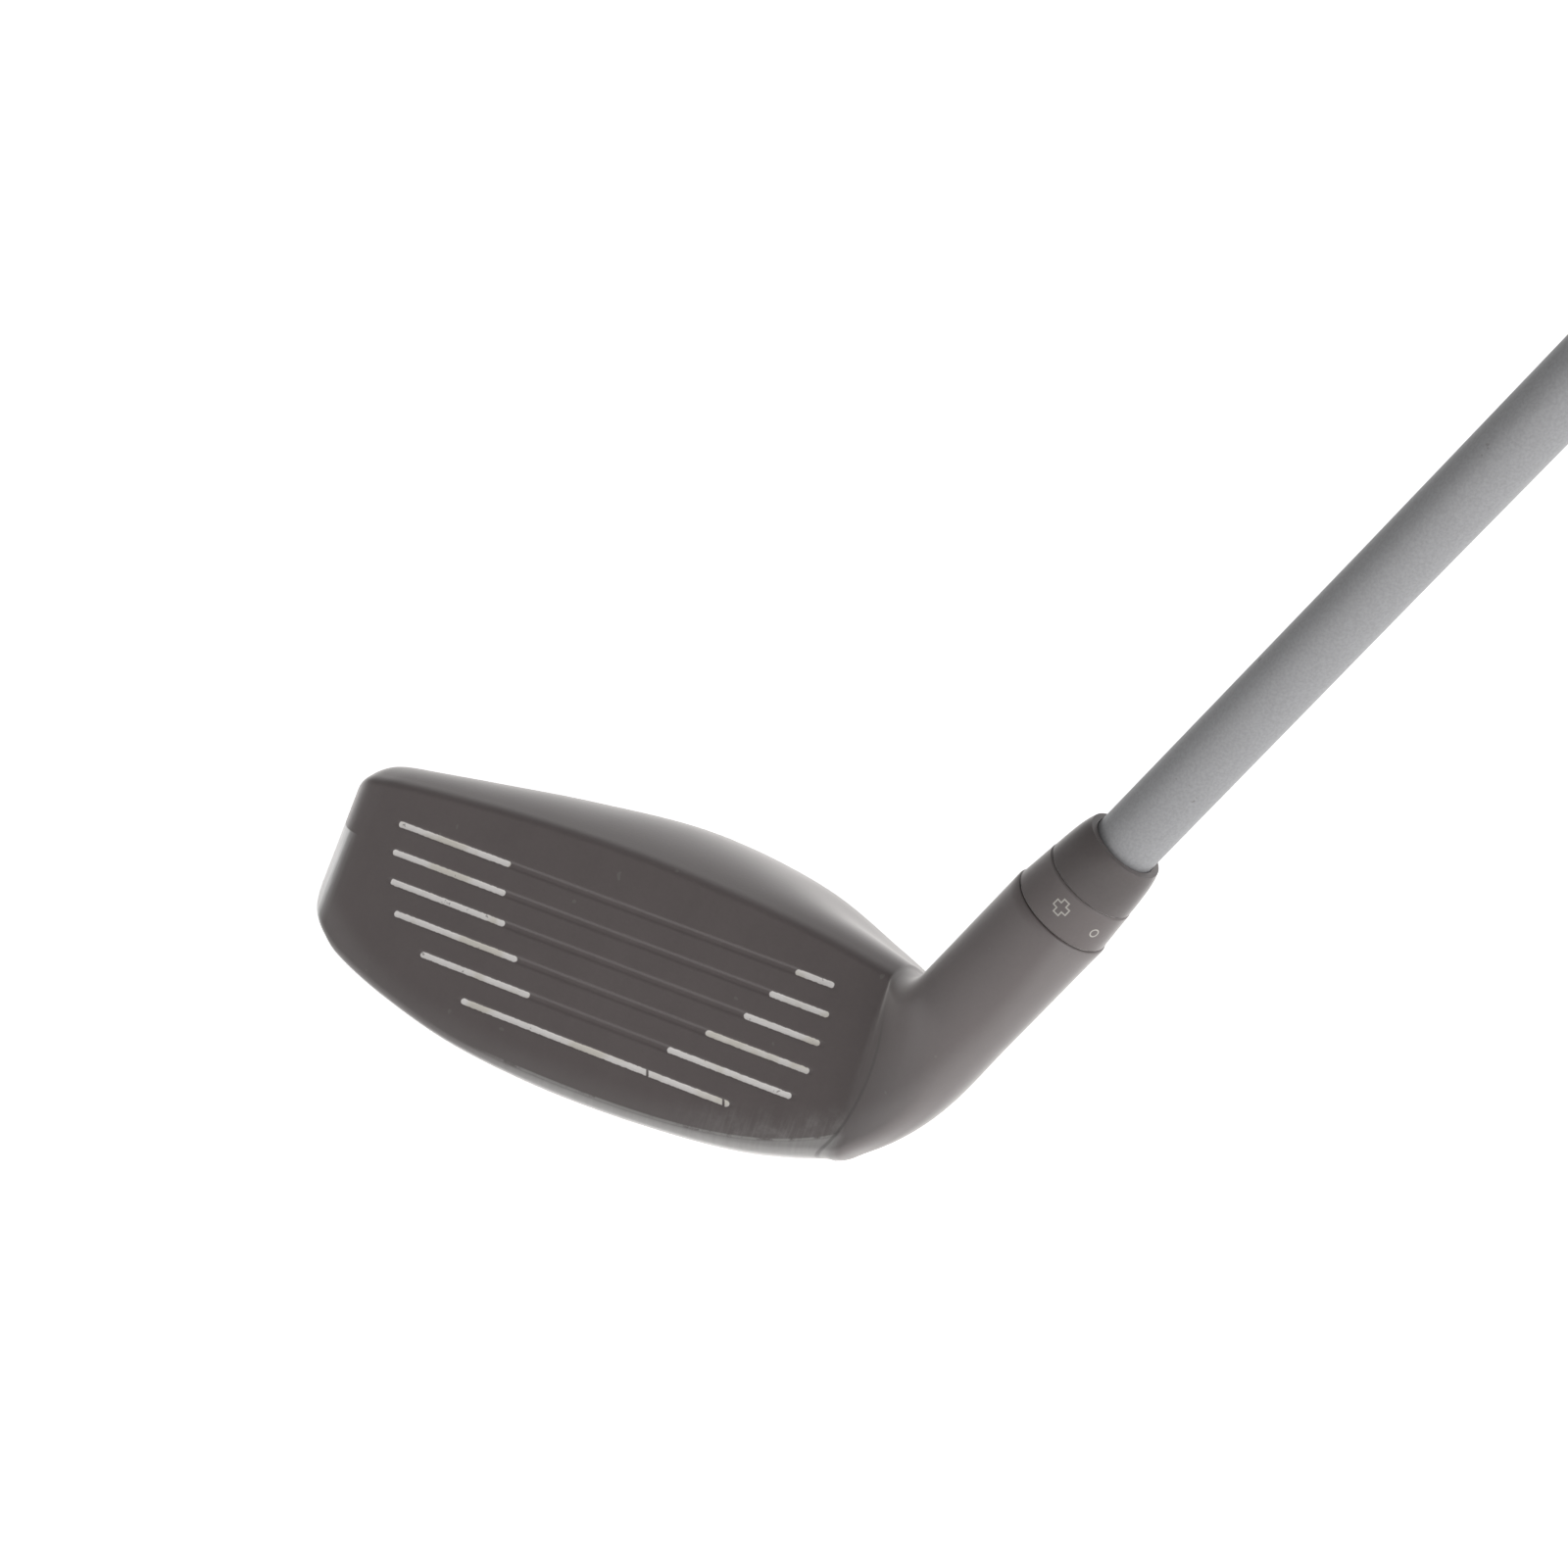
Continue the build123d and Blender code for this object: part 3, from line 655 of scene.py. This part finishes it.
print("grip")
mouth, bottom, top = grip["mouth"], grip["bottom"], grip["top"]
gripProfile = [(grip["inner"][0], bottom), (mouth - 0.75, bottom), (mouth - 0.3, bottom + 1.2)]
for station in np.arange(bottom + 3, top, 0.55):
    wider = (grip["butt"] - mouth) * (station - bottom - 3) / (top - bottom - 3)
    gripProfile.append((mouth + wider, station))
gripProfile += [(grip["butt"], top), (grip["inner"][1], top)]


def outerOnly(station, angle):
    rows = np.zeros((len(gripProfile), 1))
    rows[3:-2] = 1
    return gripRelief(station, angle) * rows


meshPiece("grip_sleeve", *lathe(gripProfile, (0, 0, 0), shaftAxis, 168, closed=True, relief=outerOnly),
          rubberFinish("blackGripRubber", grip["tone"]), "shaft_assembly", "grip_rubber", ["grip"], 60)

cap = {"bottom": 988.506, "thick": 4.0, "radius": 14.2, "edge": 1.5, "vent": 1.6,
       "ring": 8.6, "ringHalf": 0.4, "ringDepth": 0.3, "tone": 0.035}
capTop = cap["bottom"] + cap["thick"]
capProfile = [(cap["vent"], cap["bottom"])]
for middle, start in ((cap["bottom"] + cap["edge"], -90), (capTop - cap["edge"], 0)):
    for a in np.radians(np.linspace(start, start + 90, 8)):
        capProfile.append((cap["radius"] - cap["edge"] + cap["edge"] * math.cos(a),
                           middle + cap["edge"] * math.sin(a)))
capProfile += [
    (cap["ring"] + cap["ringHalf"], capTop), (cap["ring"], capTop - cap["ringDepth"]),
    (cap["ring"] - cap["ringHalf"], capTop),
    (cap["vent"] + 0.3, capTop), (cap["vent"], capTop - 0.3),
]
meshPiece("butt_cap", *lathe(capProfile, (0, 0, 0), shaftAxis, 96, closed=True),
          rubberFinish("capRubber", cap["tone"]), "shaft_assembly", "cap_rubber", ["grip_cap"])


def metalFinish(name, level, rough, warm=0.0):
    material, tree, shader, place = newMaterial(name)
    cloud, line = noise(tree, place, 300, 4.0), noise(tree, place, 1600, 2.0)
    base = mixColour(tree, cloud, grey(level * 0.8, warm), grey(level * 1.15, warm))
    feed(tree, shader, Base_Color=base, Metallic=0.9, Roughness=rough + (cloud - 0.5) * 0.15,
         Normal=bumped(tree, line, 0.15, 0.00005))
    return material


print("small parts")
smallParts = {  # these keep their own shapes
    "weight_screw": metalFinish("satinWeightSteel", 0.5, 0.32),
    "weight_insert": metalFinish("machinedInsert", 0.55, 0.28),
    "hosel_bolt": metalFinish("satinBoltSteel", 0.42, 0.3),
    "bolt_washer": metalFinish("washerSteel", 0.55, 0.3),
    "tip_weight": metalFinish("brassPlug", 0.5, 0.3, 0.35),
    "weight_seal": rubberFinish("sealRubber", 0.03),
    "damping_pad": rubberFinish("padRubber", 0.08),
    "shaft_epoxy": plasticFinish("curedGlue", 0.3, 0.3),
    "grip_tape": plasticFinish("gripTape", 0.55, 0.8),
    "thread_patch": plasticFinish("nylonPatch", 0.12, 0.5),
}
for name, material in smallParts.items():
    for slot in frame["nodes"][name].material_slots:
        slot.link = "OBJECT"
        slot.material = material

print("studio")
studio = {
    "floorReach": 6.0, "floorGlow": 0.62,
    "softbox": {"direction": (0.9, -0.1, 0.05), "distance": 1.4, "size": 0.9, "power": 7.5},
}
camera = {
    "back": (0.4025, -0.8645, 0.3012), "right": (0.8628, 0.4682, 0.1908), "up": (-0.3059, 0.1830, 0.9343),
    "fromFace": (279.98, -553.19, 229.43), "lens": 106.04,
}
floorHeight, reach = cadBounds[0][2], studio["floorReach"]
floorMesh = bpy.data.meshes.new("floor")
floorCorners = [(x * reach, y * reach, floorHeight) for x, y in ((-1, -1), (1, -1), (1, 1), (-1, 1))]
floorMesh.from_pydata(floorCorners, [], [(0, 1, 2, 3)])
floor = bpy.data.objects.new("floor", floorMesh)
bpy.context.scene.collection.objects.link(floor)
floorMaterial, tree, shader, place = newMaterial("paleFloor")
feed(tree, shader, Base_Color=(0.9, 0.9, 0.9, 1), Roughness=0.9,
     Emission_Color=(1, 1, 1, 1), Emission_Strength=studio["floorGlow"])
floorMesh.materials.append(floorMaterial)

world = bpy.data.worlds.new("studio")
bpy.context.scene.world = world
world.use_nodes = True
wtree = world.node_tree
wtree.nodes.clear()
direction = node(wtree, "ShaderNodeTexCoord", None, None, "Generated")
darkSide = np.array(camera["up"]) * 0.62 - np.array(camera["right"]) * 0.70 + np.array(camera["back"]) * 0.35
sky = direction.along(unit(darkSide))
level = 1.1 - sky.ramp(-0.3, 0.75) * 0.85  # the room is darker on the toe's side
seen = node(wtree, "ShaderNodeLightPath", None, None, "Is Camera Ray")
strength = level * (1 - seen) + seen * 1.05
background = node(wtree, "ShaderNodeBackground", None, {"Color": (1, 1, 1, 1), "Strength": strength})
wtree.links.new(background.link, wtree.nodes.new("ShaderNodeOutputWorld").inputs["Surface"])


def softLight(name, direction, distance, size, power):
    light = bpy.data.lights.new(name, "AREA")
    light.shape, light.size, light.energy = "DISK", size, power
    lamp = bpy.data.objects.new(name, light)
    centre = Vector((faceCentre * mm).tolist())
    lamp.location = centre + Vector(unit(direction).tolist()) * distance
    lamp.rotation_euler = (centre - lamp.location).to_track_quat("-Z", "Y").to_euler()
    bpy.context.scene.collection.objects.link(lamp)


softLight("rightSoftbox", **studio["softbox"])

view = bpy.data.cameras.new("camera")
view.lens = camera["lens"]
view.sensor_width = 36
view.clip_start = 0.01
viewer = bpy.data.objects.new("camera", view)
place = Matrix.Identity(4)
for column, axis in enumerate((camera["right"], camera["up"], camera["back"])):
    for row in range(3):
        place[row][column] = axis[row]
place.translation = Vector(((faceCentre + np.array(camera["fromFace"])) * mm).tolist())
viewer.matrix_world = place
bpy.context.scene.collection.objects.link(viewer)
bpy.context.scene.camera = viewer
bpy.context.scene.view_settings.view_transform = "Standard"
